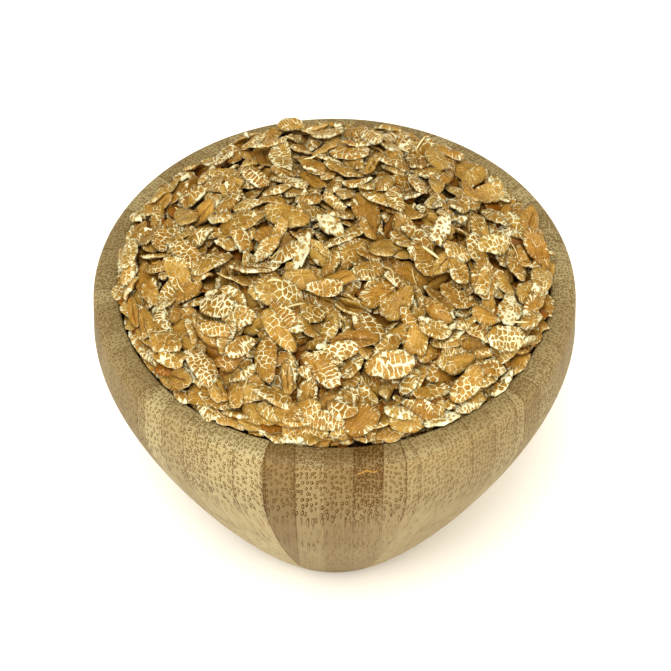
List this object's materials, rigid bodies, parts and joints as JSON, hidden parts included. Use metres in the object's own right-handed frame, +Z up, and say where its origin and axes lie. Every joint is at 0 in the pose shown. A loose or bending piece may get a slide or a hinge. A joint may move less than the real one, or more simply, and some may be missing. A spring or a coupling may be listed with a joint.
{
  "type": "bowl of spelt flakes",
  "caption": "Deep turned bowl of laminated bamboo with a flat rim and a small foot, heaped above the rim with rolled spelt flakes.",
  "frame": {"origin": "centre of the bowl's flat foot, on the surface that the bowl stands on", "axes": "+Z up through the middle of the bowl; the picture looks from -Y along +Y and down, with +X to the right"},
  "size_m": [0.1208, 0.1208, 0.105],
  "materials": {
    "bamboo": "satin, lightly oiled laminated bamboo strips",
    "spelt_flakes": "matte to satin golden bran with cream cracks and starch"
  },
  "bodies": {
    "root": {"bowl": "bamboo", "flakes": "spelt_flakes"}
  },
  "joints": []
}
